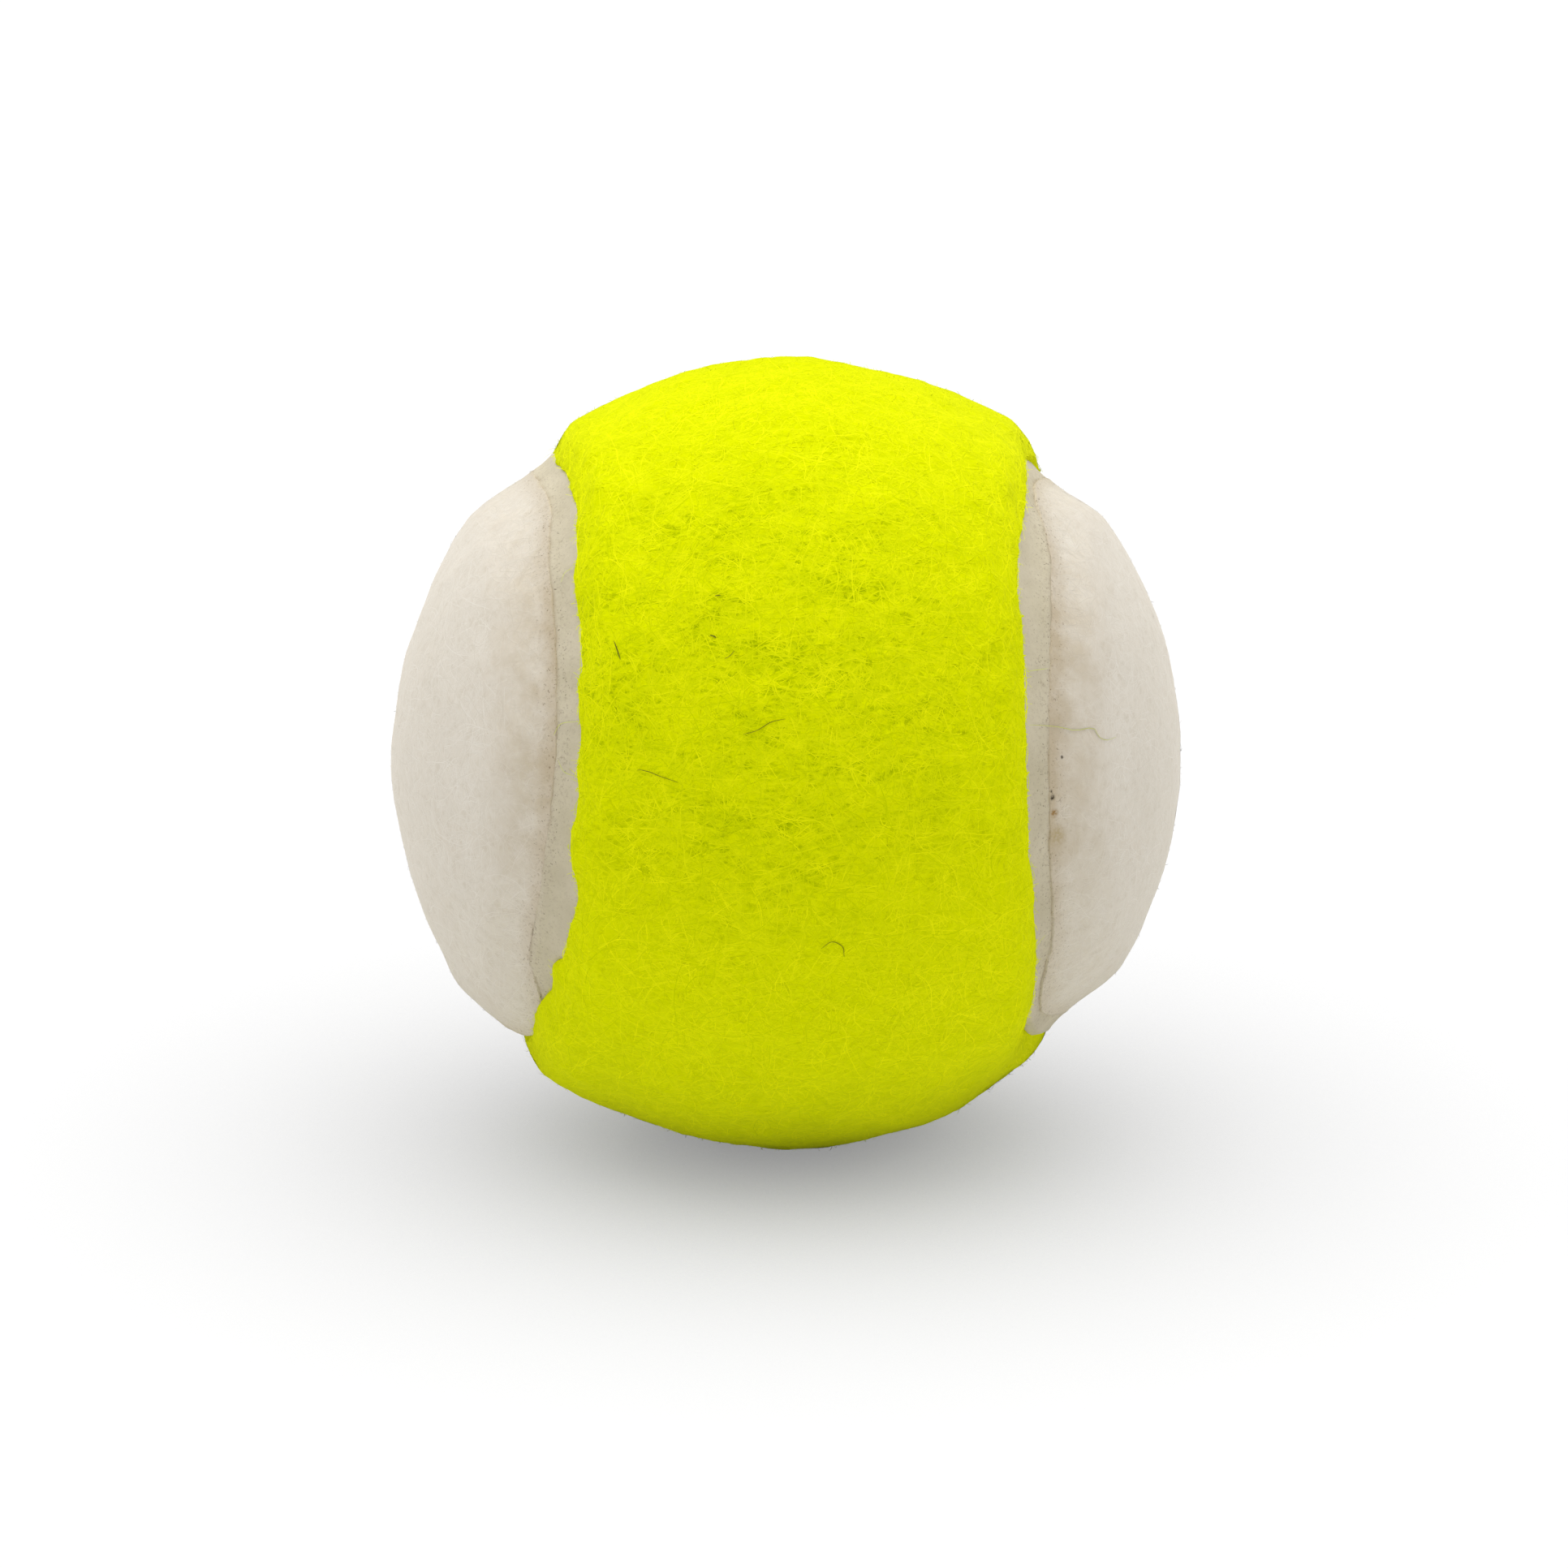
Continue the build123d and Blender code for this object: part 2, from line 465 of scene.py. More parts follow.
FIBRE_POINTS = 8
FIBRE_SIDES = 3
FIBRE_FLATNESS = 0.07
MOST_TRIANGLES = 190_000

# How far the lengths of fibres differ, the shape of their lifts' spread, and the range of their thickness
LENGTH_SPREAD = 0.35
LIFT_SPREAD = (1.6, 0.62)
THICKNESS_RANGE = (0.7, 1.3)

# What a fibre keeps of its bend from step to step, and what is new at each
BEND_KEPT = 0.75
BEND_ADDED = 0.8

# A fibre over the edge is cut this part of a step before it, down to a least share, in a few tries
SHORTENINGS = 4
CUT_STEP = 0.5
LEAST_SHARE = 0.1

# How steeply what still hangs over the edge sags, and how far past its ends a fibre's arch would start
OVERHANG_SAG = 0.5
ARCH_LEAD = 0.25

# How far past its ends a fibre's taper would start, and how much longer that makes it
TAPER_LEAD = 0.7
TAPER_EXTRA = 0.4

# Where a fibre's sides and its two caps lie in its cell of the texture
CELL_MARGIN = 0.1
CELL_SPAN = 0.8
CAP_COLUMNS = (0.05, 0.95)
CAP_ROWS = (0.2, 0.5, 0.8)


def wander(roots, headings, bends, lengths):
    """Directions along fibres that wander over the ball from their roots, one fibre a row."""
    here = roots
    heading = np.cross(np.cross(here, headings), here)
    step = lengths / (FIBRE_POINTS - 1) / BALL_RADIUS
    steps = []
    for bend in bends.T:
        steps.append(here)
        heading = unit(heading - (heading * here).sum(axis=1)[:, None] * here)
        heading = heading * np.cos(bend)[:, None] + np.cross(here, heading) * np.sin(bend)[:, None]
        here = unit(here + heading * step[:, None])
    return np.stack(steps, axis=1)


def fibre_paths(felt, rng, roots, headings, lengths, lifts, curl, overhangs):
    """Paths of fibres laid on the felt from these roots, and their points' distances inside its edge.

    A fibre that would run out over the seam is shortened.
    """
    count = len(roots)
    bends = rng.normal(0, curl, (count, FIBRE_POINTS))
    for k in range(1, FIBRE_POINTS):
        bends[:, k] = BEND_KEPT * bends[:, k - 1] + BEND_ADDED * bends[:, k]
    for _ in range(SHORTENINGS):
        ways = wander(roots, headings, bends, lengths)
        inside = edge_place(felt, ways.reshape(-1, 3))[0].reshape(count, FIBRE_POINTS)
        out = inside < -overhangs[:, None]
        reach = np.where(out.any(axis=1), (out.argmax(axis=1) - CUT_STEP) / (FIBRE_POINTS - 1), 1.0)
        lengths = lengths * np.maximum(reach, LEAST_SHARE)
    inside = inside.ravel()
    height = felt_height(felt, ways.reshape(-1, 3), np.maximum(inside, felt.fray))
    height = (height - OVERHANG_SAG * np.maximum(-inside, 0)).reshape(count, FIBRE_POINTS)
    arch = np.sin(math.pi * (np.arange(FIBRE_POINTS) + ARCH_LEAD) / (FIBRE_POINTS - 1 + 2 * ARCH_LEAD))
    return ways * (height + lifts[:, None] * arch)[..., None], inside.reshape(count, FIBRE_POINTS)


def tube_mesh(name, paths, radii, flatness=FIBRE_FLATNESS):
    """One mesh of closed, flattened tubes along the paths, each in its own cell of the texture."""
    count, steps, _ = paths.shape
    tangents = unit(np.gradient(paths, axis=1))
    across = unit(np.cross(tangents, paths))
    normals = np.cross(across, tangents)
    taper = np.sqrt(np.sin(math.pi * (np.arange(steps) + TAPER_LEAD) / (steps + TAPER_EXTRA)))
    rings = []
    for corner in range(FIBRE_SIDES):
        angle = 2 * math.pi * corner / FIBRE_SIDES + math.pi / 2
        spoke = math.cos(angle) * across + flatness * math.sin(angle) * normals
        rings.append(paths + spoke * (radii[:, None] * taper)[..., None])
    points = on_floor(np.stack(rings, axis=2).reshape(-1, 3))

    first = (np.arange(count) * steps * FIBRE_SIDES)[:, None, None]
    low = first + (np.arange(steps - 1) * FIBRE_SIDES)[None, :, None]
    high = low + FIBRE_SIDES
    side = np.arange(FIBRE_SIDES)
    after = (side + 1) % FIBRE_SIDES
    quads = np.stack([low + side, high + side, high + after, low + after], axis=-1)
    start_caps = first[:, 0] + side
    end_caps = first[:, 0] + (steps - 1) * FIBRE_SIDES + side[::-1]
    caps = np.stack([start_caps, end_caps], axis=1)
    corners = np.concatenate([quads.ravel(), caps.ravel()])
    sizes = np.concatenate([np.full(quads.size // 4, 4), np.full(caps.size // 3, 3)])
    mesh = mesh_from(name, points, corners, sizes)
    mesh.normals_split_custom_set_from_vertices(unit(points).astype(np.float32))

    cells = math.ceil(math.sqrt(count))
    column, row = np.arange(count) % cells, np.arange(count) // cells
    along = (np.arange(steps - 1)[:, None, None] + np.array((0, 1, 1, 0))) / (steps - 1)
    turned = (side[:, None] + np.array((0, 0, 1, 1))) / FIBRE_SIDES
    shape = (steps - 1, FIBRE_SIDES, 4)
    u = column[:, None, None, None] + CELL_MARGIN + CELL_SPAN * np.broadcast_to(along, shape)
    v = row[:, None, None, None] + CELL_MARGIN + CELL_SPAN * np.broadcast_to(turned, shape)
    cap_u = column[:, None, None] + np.broadcast_to(np.array(CAP_COLUMNS)[:, None], (2, 3))
    cap_v = row[:, None, None] + np.broadcast_to(np.array(CAP_ROWS), (2, 3))
    flat = [np.concatenate([quad.ravel(), cap.ravel()]) for quad, cap in ((u, cap_u), (v, cap_v))]
    layer = mesh.uv_layers.new(name="OFBake")
    layer.data.foreach_set("uv", (np.stack(flat, axis=1) / cells).astype(np.float32).ravel())
    return mesh


def add_fibres(name, mesh, material):
    """A piece of fibres of a felt, too fine to shade what lies under it."""
    piece = add_piece(name, mesh, material)
    piece.visible_shadow = False
    piece.visible_diffuse = False
    return piece


def random_roots(felt, rng, count):
    """Directions spread evenly over the felt."""
    found = np.empty((0, 3))
    while len(found) < count:
        tries = unit(rng.normal(size=(2 * count, 3)))
        inside, _ = edge_place(felt, tries)
        found = np.concatenate([found, tries[inside > 0]])
    return found[:count]


def nap_pieces(felt, material, count, seed, length, lift, curl, thickness, overhang, grain):
    """Matted fibres all over the felt, in as many pieces as their triangles need.

    A grain above 0 makes more of them run from side to side.
    """
    rng = np.random.default_rng(seed)
    roots = random_roots(felt, rng, count)
    headings = rng.normal(size=(count, 3)) + grain * SIDE * rng.choice((-1, 1), (count, 1))
    lengths = length * rng.lognormal(0, LENGTH_SPREAD, count)
    lifts = lift * rng.gamma(*LIFT_SPREAD, count)
    overhangs = overhang * rng.random(count)
    paths, places = fibre_paths(felt, rng, roots, headings, lengths, lifts, curl, overhangs)
    radii = thickness / 2 * rng.uniform(*THICKNESS_RANGE, count)
    triangles = count * (2 * FIBRE_SIDES * (FIBRE_POINTS - 1) + 2)
    parts = np.array_split(np.arange(count), math.ceil(triangles / MOST_TRIANGLES))
    pieces = []
    for number, rows in enumerate(parts, 1):
        name = f"{felt.name}_nap_{number}"
        mesh = tube_mesh(name, paths[rows], radii[rows])
        add_values(mesh, "inside_mm", np.repeat(places[rows], FIBRE_SIDES) * MILLIMETRES)
        pieces.append(add_fibres(name, mesh, material))
    return pieces


# Fuzz: short fibres that stand off the felt and lean over its cut edge

# Where a fibre's points lie, as shares of its length and of its height
FUZZ_ALONG = np.array((0.0, 0.35, 0.7, 1.0))
FUZZ_RISE = np.array((-0.1, 0.55, 0.9, 1.0))

# How near the edge the fibres lean over it, and how far their lengths and heights differ
FUZZ_EDGE = 0.0012
FUZZ_LENGTH_SPREAD = 0.4
FUZZ_HEIGHT_SPREAD = (2.0, 0.5)


def fuzz_piece(felt, material, count, seed, height, length, thickness, edge_lean):
    """Short fibres that stand off the felt all over it."""
    rng = np.random.default_rng(seed)
    roots = random_roots(felt, rng, count)
    inside, way = edge_place(felt, roots)
    lean = unit(np.cross(roots, rng.normal(size=(count, 3))))
    lean = unit(lean - way * (edge_lean * np.exp(-inside / FUZZ_EDGE))[:, None])
    lengths = length * rng.lognormal(0, FUZZ_LENGTH_SPREAD, count)
    heights = height * rng.gamma(*FUZZ_HEIGHT_SPREAD, count)
    stretch = lean * (lengths / BALL_RADIUS)[:, None]
    ways = unit(roots[:, None] + stretch[:, None] * FUZZ_ALONG[None, :, None])
    radius = felt_height(felt, roots, inside)[:, None] + heights[:, None] * FUZZ_RISE
    radii = thickness / 2 * rng.uniform(*THICKNESS_RANGE, count)
    name = f"{felt.name}_fuzz"
    mesh = tube_mesh(name, ways * radius[..., None], radii)
    add_values(mesh, "inside_mm", np.repeat(inside, len(FUZZ_ALONG) * FIBRE_SIDES) * MILLIMETRES)
    return add_fibres(name, mesh, material)


# Stray hairs, each through a few pixels of the photograph

STRAY_POINTS = 16
STRAY_LIFT = 0.00010
STRAY_FLATNESS = 0.5
HEIGHT_TRIES = 3

# Hairs and threads: thickness and route of pixels
DARK_HAIRS = (
    (0.00010, ((757, 790), (761, 801), (765, 813))),
    (0.00006, ((786, 948), (800, 951), (815, 957), (836, 964))),
    (0.00006, ((916, 905), (933, 900), (950, 890), (968, 886))),
    (0.00006, ((1012, 1168), (1025, 1160), (1038, 1166), (1040, 1178))),
    (0.00011, ((875, 783), (879, 784), (883, 786))),
    (0.00008, ((881, 735), (884, 734), (888, 734))),
    (0.00005, ((893, 812), (900, 808), (905, 802))),
)
YELLOW_THREADS = (
    (0.00007, ((714, 889), (692, 892), (683, 906))),
    (0.00007, ((712, 957), (696, 951), (688, 936))),
    (0.00007, (
        (1262, 893), (1285, 894), (1305, 896), (1325, 900),
        (1346, 897), (1353, 908), (1363, 912), (1374, 908),
    )),
    (0.00007, ((1262, 828), (1275, 826), (1290, 824))),
    (0.00007, ((708, 700), (697, 706), (692, 718))),
)


def surface_height(directions):
    """Radius of what shows at these directions: one of the felts, or the seam between them."""
    height = np.full(len(directions), BALL_RADIUS - SEAM_RECESS)
    for felt in (YELLOW, WHITE):
        inside, _ = edge_place(felt, directions)
        height = np.maximum(height, np.where(inside > 0, felt_height(felt, directions, inside), 0))
    return height


def smooth_route(route):
    """Pixels along a smooth curve through the pixels of a route."""
    given = np.array(route, dtype=float)
    given = np.concatenate([[2 * given[0] - given[1]], given, [2 * given[-1] - given[-2]]])
    along = np.linspace(0, len(route) - 1, STRAY_POINTS)
    k = np.minimum(along.astype(int), len(route) - 2)
    a, b, c, d = given[k], given[k + 1], given[k + 2], given[k + 3]
    t = (along - k)[:, None]
    return b + 0.5 * t * (c - a + t * (2 * a - 5 * b + 4 * c - d + t * (3 * b - a - 3 * c + d)))


def stray_piece(name, routes, material):
    """One piece of hairs that lie on the ball, each given as its thickness and its route of pixels."""
    paths = []
    for _, route in routes:
        pixels = smooth_route(route)
        heights = np.full(STRAY_POINTS, BALL_RADIUS)
        for _ in range(HEIGHT_TRIES):
            directions = np.array([from_photo(*pixel, height) for pixel, height in zip(pixels, heights)])
            heights = surface_height(directions)
        paths.append(directions * (heights + STRAY_LIFT)[:, None])
    radii = np.array([thickness / 2 for thickness, _ in routes])
    mesh = tube_mesh(name, np.array(paths), radii, STRAY_FLATNESS)
    add_piece(name, mesh, material)


# Seam rubber

# Sections along each arc, and points across the top of a section
SEAM_STEPS = 220
SEAM_PROFILE = 25

# How far the rubber reaches under the felts, and how steeply it dips there
SEAM_TUCK = 0.0006
SEAM_DIP = 0.6

# The crease along the white felt
CREASE_WIDTH = 0.00030
CREASE_DEPTH = 0.00003

# Lumps of the rubber: wavelength, height and seed
SEAM_LUMPS = ((0.0040, 0.00005, 71), (0.0012, 0.00002, 72))


def seam_line():
    """Directions along the middle of the seam's four arcs, and at each the way into the yellow felt."""
    arcs = ((SIDE, 1, UP), (UP, -1, -SIDE), (-SIDE, 1, -UP), (-UP, -1, SIDE))
    turn = ((np.arange(SEAM_STEPS) + 0.5) / SEAM_STEPS * 2 - 1) * ARC_HALF_ANGLE
    middles, ways = [], []
    for aim, sign, onward in arcs:
        lobe = aim * math.cos(LEAN) + OUT * sign * math.sin(LEAN)
        inner = OUT * sign * math.cos(LEAN) - aim * math.sin(LEAN)
        spoke = np.cos(turn)[:, None] * inner + np.sin(turn)[:, None] * onward
        middles.append(math.cos(LOBE_ANGLE) * lobe + math.sin(LOBE_ANGLE) * spoke)
        ways.append(sign * (math.cos(LOBE_ANGLE) * spoke - math.sin(LOBE_ANGLE) * lobe))
    return np.concatenate(middles), np.concatenate(ways)


def seam_mesh():
    """The endless strip of rubber between the felts' edges, dished, with a crease along the white felt."""
    middles, ways = seam_line()
    reach = SEAM_WIDTH / 2 + SEAM_TUCK
    across = np.linspace(-reach, reach, SEAM_PROFILE)
    angle = ((across + seam_shift(middles)[:, None]) / BALL_RADIUS)[..., None]
    top = middles[:, None] * np.cos(angle) + ways[:, None] * np.sin(angle)
    points = top.reshape(-1, 3) * BALL_RADIUS
    place = np.tile(across, len(middles))
    dish = np.maximum(1 - (2 * place / SEAM_WIDTH) ** 2, 0)
    bare = -edge_place(WHITE, points / BALL_RADIUS)[0]
    covered = np.maximum(edge_place(YELLOW, points / BALL_RADIUS)[0], -bare)
    height = BALL_RADIUS - SEAM_RECESS - SEAM_DISH * dish - SEAM_DIP * np.maximum(covered, 0)
    height = height - CREASE_DEPTH * np.exp(-((bare / CREASE_WIDTH) ** 2))
    for wavelength, lump, seed in SEAM_LUMPS:
        height = height + lump * ripple(points, wavelength, seed)
    upper = (points / BALL_RADIUS * height[:, None]).reshape(len(middles), SEAM_PROFILE, 3)
    lower = top[:, [-1, 0]] * CORE_RADIUS
    ring = SEAM_PROFILE + 2
    points = np.concatenate([upper, lower], axis=1).reshape(-1, 3)
    here = (np.arange(len(middles)) * ring)[:, None]
    onward = np.roll(here, -1, axis=0)
    j, k = np.arange(ring), (np.arange(ring) + 1) % ring
    quads = np.stack([here + j, onward + j, onward + k, here + k], axis=-1)
    mesh = mesh_from("seam_rubber_strip", on_floor(points), quads.ravel(), np.full(quads.size // 4, 4))
    bare = np.concatenate([bare.reshape(len(middles), SEAM_PROFILE), np.zeros((len(middles), 2))], axis=1)
    add_values(mesh, "bare_mm", bare.ravel() * MILLIMETRES)
    return mesh


# Materials

def colour(red, green, blue):
    """A colour given as it looks on a screen, 0 to 255, as the linear values that nodes take."""
    shares = (red / 255, green / 255, blue / 255)
    return tuple(x / 12.92 if x <= 0.04045 else ((x + 0.055) / 1.055) ** 2.4 for x in shares) + (1.0,)


# Colours of the yellow felt and its fibres
YELLOW_TOP = colour(225, 234, 0)
# Painted shade for the pits between the fibres
YELLOW_PIT_SHADE = colour(167, 185, 0)
YELLOW_LINE = colour(234, 243, 14)
YELLOW_NAP_DARK = colour(208, 220, 0)
YELLOW_NAP_LIGHT = colour(246, 249, 16)
# Fibres darker about one place
YELLOW_NAP_DARKER = colour(191, 209, 0)

# Colours of the white felt and its fibres
# Painted shade for the pits between the fibres
WHITE_PIT_SHADE = colour(220, 211, 195)
WHITE_TOP = colour(229, 221, 207)
WHITE_STAIN = colour(214, 200, 180)
WHITE_LINE = colour(236, 230, 219)
WHITE_GRAIN = colour(168, 152, 128)
WHITE_SPECK = colour(128, 106, 82)
# Tan dust, and painted shade along the white felt's edge
WHITE_DUST_AND_EDGE_SHADE = colour(200, 185, 159)
WHITE_NAP_DARK = colour(221, 213, 198)
WHITE_NAP_LIGHT = colour(239, 233, 222)
WHITE_NAP_MIDDLE = colour(226, 218, 204)

# Colours of the seam rubber
SEAM_DARK = colour(199, 189, 163)
SEAM_LIGHT = colour(211, 201, 177)
# Painted shade for the crease along the white felt
SEAM_CREASE_SHADE = colour(158, 136, 106)
SEAM_GRAIN = colour(166, 150, 128)
SEAM_SPECK = colour(118, 102, 84)

# Colours of the core, the cement, the stray hairs and the floor
CORE_DARK = colour(58, 56, 54)
CORE_LIGHT = colour(84, 80, 76)
CEMENT_DARK = colour(168, 138, 92)
CEMENT_LIGHT = colour(198, 170, 122)
HAIR_DARK = colour(78, 76, 12)
HAIR_LIGHT = colour(112, 112, 14)
THREAD_DARK = colour(208, 213, 110)
THREAD_LIGHT = colour(222, 227, 140)
FLOOR_DARK = colour(233, 233, 233)
FLOOR_LIGHT = colour(236, 236, 236)

# Sheen of the felts
FELT_SHEEN_ROUGHNESS = 0.4
YELLOW_SHEEN = {"Sheen_Weight": 0.25, "Sheen_Tint": colour(252, 255, 90)}
WHITE_SHEEN = {"Sheen_Weight": 0.35, "Sheen_Tint": colour(255, 250, 240)}

# Spots of dirt along the seam: pixel, size and colour
DIRT_DARK = colour(48, 38, 24)
DIRT_BROWN = colour(152, 116, 62)
DIRT_TAN = colour(186, 168, 130)
DIRT_SPOTS = (
    (1302, 1030, 0.00110, DIRT_TAN),
    (1297, 983, 0.00036, DIRT_DARK),
    (1296, 975, 0.00018, DIRT_DARK),
    (1299, 1002, 0.00050, DIRT_BROWN),
    (1281, 969, 0.00018, DIRT_DARK),
    (1308, 933, 0.00022, DIRT_DARK),
    (1325, 955, 0.00016, DIRT_DARK),
)

# The middle of the stretch where the yellow felt's painted pit shade is deepest and its fibres darker, and of
# the white felt's two most stained ones
DARKENED_PLACE = from_photo(945, 830) * BALL_RADIUS
STAINED_PLACES = (from_photo(1310, 900) * BALL_RADIUS, from_photo(668, 870) * BALL_RADIUS)


class Look:
    """The nodes of a material or a world: each call adds one, with values or links for its inputs."""

    def __init__(self, name, kind="materials"):
        self.material = getattr(bpy.data, kind).new(name)
        self.material.use_nodes = True
        self.tree = self.material.node_tree
        self.tree.nodes.clear()

    def add(self, kind, inputs, output=0, **settings):
        node = self.tree.nodes.new(kind)
        for name, value in settings.items():
            setattr(node, name, value)
        for socket, value in inputs.items():
            if isinstance(value, bpy.types.NodeSocket):
                self.tree.links.new(value, node.inputs[socket])
            else:
                node.inputs[socket].default_value = value
        return node.outputs[output]

    def place(self):
        return self.add("ShaderNodeTexCoord", {}, "Object")

    def radial(self):
        return self.add("ShaderNodeVectorMath", {0: self.place()}, operation="NORMALIZE")

    def value(self, name):
        return self.add("ShaderNodeAttribute", {}, "Fac", attribute_name=name)

    def island(self):
        return self.add("ShaderNodeNewGeometry", {}, "Random Per Island")

    def near(self, point, start, end, low, high):
        """A value that goes from one to another with the distance from a point."""
        ends = {0: self.place(), 1: tuple(point)}
        apart = self.add("ShaderNodeVectorMath", ends, "Value", operation="DISTANCE")
        return self.ramp(apart, start, end, low, high)

    def noise(self, scale, detail=2.0, roughness=0.5, distortion=0.0, seed=0.0, stretch=1.0):
        """Noise of features about 1 / scale across, longer from side to side by a stretch."""
        place = self.place()
        if stretch != 1.0:
            place = self.add("ShaderNodeMapping", {"Vector": place, "Scale": (1 / stretch, 1.0, 1.0)})
        inputs = {
            "Vector": place, "W": seed, "Scale": scale, "Detail": detail,
            "Roughness": roughness, "Distortion": distortion,
        }
        return self.add("ShaderNodeTexNoise", inputs, "Fac", noise_dimensions="4D")

    def ramp(self, value, start, end, low=0.0, high=1.0):
        inputs = {"Value": value, "From Min": start, "From Max": end, "To Min": low, "To Max": high}
        return self.add("ShaderNodeMapRange", inputs, interpolation_type="SMOOTHSTEP")

    def math(self, operation, a, b=0.0):
        return self.add("ShaderNodeMath", {0: a, 1: b}, operation=operation)

    def strands(self, scale, width, seed):
        """Thin curly lines, as of fibres: where a noise passes its middle value."""
        noise = self.noise(scale, detail=1.0, distortion=0.5, seed=seed)
        off = self.math("ABSOLUTE", self.math("SUBTRACT", noise, 0.5))
        return self.ramp(off, 0.0, width, 1.0, 0.0)

    def mix(self, share, a, b):
        return self.add("ShaderNodeMix", {0: share, 6: a, 7: b}, 2, data_type="RGBA")

    def tint(self, body, mask, amount, shade):
        """The colour with an amount of another one where a mask shows it."""
        return self.mix(self.math("MULTIPLY", mask, amount), body, shade)

    def dusted_and_edge_shaded(self, body):
        """The white felt's colour with the tan dust that gathers in streaks towards its edge, and a band
        along the edge itself that is partly dust and partly painted shade.
        """
        streaks = self.ramp(self.noise(420, detail=3.0, roughness=0.6, seed=17.0), 0.3, 0.7, 0.35, 1.0)
        nearness = [self.near(place, 0.005, 0.020, 0.85, 0.25) for place in STAINED_PLACES]
        stained = self.math("MULTIPLY", streaks, self.math("MAXIMUM", *nearness))
        # Partly dust, partly painted shade: a tan band within 2 mm of the cut edge
        close = self.ramp(self.value("inside_mm"), 0.0, 2.0, 0.4, 0.0)
        wide = self.ramp(self.value("inside_mm"), 0.5, 9.0, 1.0, 0.0)
        share = self.math("ADD", self.math("MULTIPLY", wide, stained), close)
        return self.mix(share, body, WHITE_DUST_AND_EDGE_SHADE)

    def spots(self, body):
        """The colour with the dark spots of dirt that the photograph shows along the seam."""
        radius = BALL_RADIUS - SEAM_RECESS
        broken = self.ramp(self.noise(4200, detail=3.0, roughness=0.6, seed=18.0), 0.35, 0.60, 0.35, 1.0)
        for column, row, size, dirt in DIRT_SPOTS:
            place = from_photo(column, row, radius) * radius
            share = self.math("MULTIPLY", self.near(place, 0.2 * size, 1.1 * size, 0.95, 0.0), broken)
            body = self.mix(share, body, dirt)
        return body

    def bump(self, height, distance):
        return self.add("ShaderNodeBump", {"Height": height, "Distance": distance, "Strength": 1.0})

    def seen_directly(self):
        """1 for what the camera sees, straight, in a reflection or through glass, and 0 for other light."""
        rays = self.tree.nodes.new("ShaderNodeLightPath").outputs
        mirrored = self.math("MAXIMUM", rays["Is Glossy Ray"], rays["Is Transmission Ray"])
        return self.math("MAXIMUM", rays["Is Camera Ray"], mirrored)

    def finish(self, **inputs):
        values = {name.replace("_", " "): value for name, value in inputs.items()}
        shader = self.add("ShaderNodeBsdfPrincipled", values)
        self.tree.links.new(shader, self.tree.nodes.new("ShaderNodeOutputMaterial").inputs["Surface"])
        return self.material

    def finish_felt(self, body, roughness, sheen, normal):
        """The finish of felt and its fibres: no gloss, only a sheen."""
        return self.finish(
            Base_Color=body, Roughness=roughness, Normal=normal,
            Specular_IOR_Level=0.0, Sheen_Roughness=FELT_SHEEN_ROUGHNESS, **sheen,
        )


def yellow_felt_look():
    """Fluorescent yellow felt: a mat of fine fibres, lighter on top, with olive shade painted into the pits
    between them.
    """
    look = Look("yellow_felt")
    pits = look.noise(2300, detail=4.0, roughness=0.65, seed=1.0, stretch=2.4)
    clumps = look.noise(380, detail=4.0, roughness=0.6, seed=2.0, stretch=2.6)
    depth = look.math("ADD", look.math("MULTIPLY", pits, 0.6), look.math("MULTIPLY", clumps, 0.4))
    darkened = look.near(DARKENED_PLACE, 0.010, 0.027, 1.0, 0.25)
    # Painted shade: the low places of the relief take the olive colour, fully about one place and a quarter
    # as much further off
    shade = look.math("MULTIPLY", look.ramp(depth, 0.36, 0.56, 1.0, 0.0), darkened)
    body = look.mix(shade, YELLOW_TOP, YELLOW_PIT_SHADE)
    lines = look.math("MAXIMUM", look.strands(330, 0.020, 3.0), look.strands(520, 0.028, 4.0))
    lines = look.math("MAXIMUM", lines, look.strands(840, 0.040, 5.0))
    body = look.tint(body, lines, 0.35, YELLOW_LINE)
    height = look.math("ADD", look.math("MULTIPLY", lines, 0.5), pits)
    return look.finish_felt(
        body, look.ramp(pits, 0.2, 0.8, 0.95, 0.8), YELLOW_SHEEN, look.bump(height, 0.00008)
    )


def yellow_nap_look():
    """Single fibres of the yellow felt, each a little lighter or darker than the next."""
    look = Look("yellow_nap")
    along = look.ramp(look.noise(400, seed=6.0), 0.3, 0.7)
    body = look.mix(look.island(), YELLOW_NAP_DARK, YELLOW_NAP_LIGHT)
    # Fibres darker about the same place
    darkened = look.near(DARKENED_PLACE, 0.012, 0.030, 0.45, 0.1)
    body = look.tint(body, along, darkened, YELLOW_NAP_DARKER)
    return look.finish_felt(body, look.ramp(along, 0.0, 1.0, 0.75, 0.9), YELLOW_SHEEN, look.radial())


